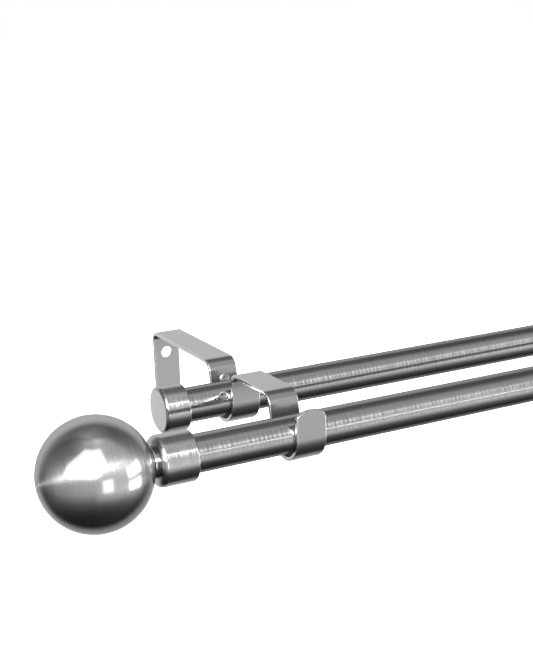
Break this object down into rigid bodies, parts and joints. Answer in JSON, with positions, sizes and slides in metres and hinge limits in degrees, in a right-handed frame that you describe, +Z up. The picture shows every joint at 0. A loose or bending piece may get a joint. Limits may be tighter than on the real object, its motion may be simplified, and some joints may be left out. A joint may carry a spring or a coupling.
{
  "type": "double curtain pole",
  "caption": "Two parallel steel curtain poles held off a wall by folded strap brackets; the front one ends in ball finials, the rear one in plain end caps.",
  "frame": {"origin": "centre of the four screw holes of the two wall plates, on the wall's face", "axes": "+X along the poles, +Y into the wall, +Z up, so the room is on the -Y side"},
  "size_m": [1.3538, 0.1672, 0.0573],
  "materials": {
    "tube": "brushed around the tube",
    "turned": "brushed around the sleeve, face satin",
    "ball": "finely brushed, nearly polished",
    "neck": "turned and polished",
    "strap": "satin, with bright rounded edges",
    "screw": "bright zinc"
  },
  "bodies": {
    "root": {"front_pole": "tube", "rear_pole": "tube", "left_bracket": "strap", "left_finial_collar": "turned", "left_ball": "ball", "left_ball_neck": "neck", "left_finial_stud": "screw", "left_end_cap": "turned", "left_rear_clamp_screw": "screw", "left_front_clamp_screw": "screw", "left_collar_screw": "screw", "left_cap_screw": "screw", "right_bracket": "strap", "right_finial_collar": "turned", "right_ball": "ball", "right_ball_neck": "neck", "right_finial_stud": "screw", "right_end_cap": "turned", "right_rear_clamp_screw": "screw", "right_front_clamp_screw": "screw", "right_collar_screw": "screw", "right_cap_screw": "screw"}
  },
  "joints": []
}
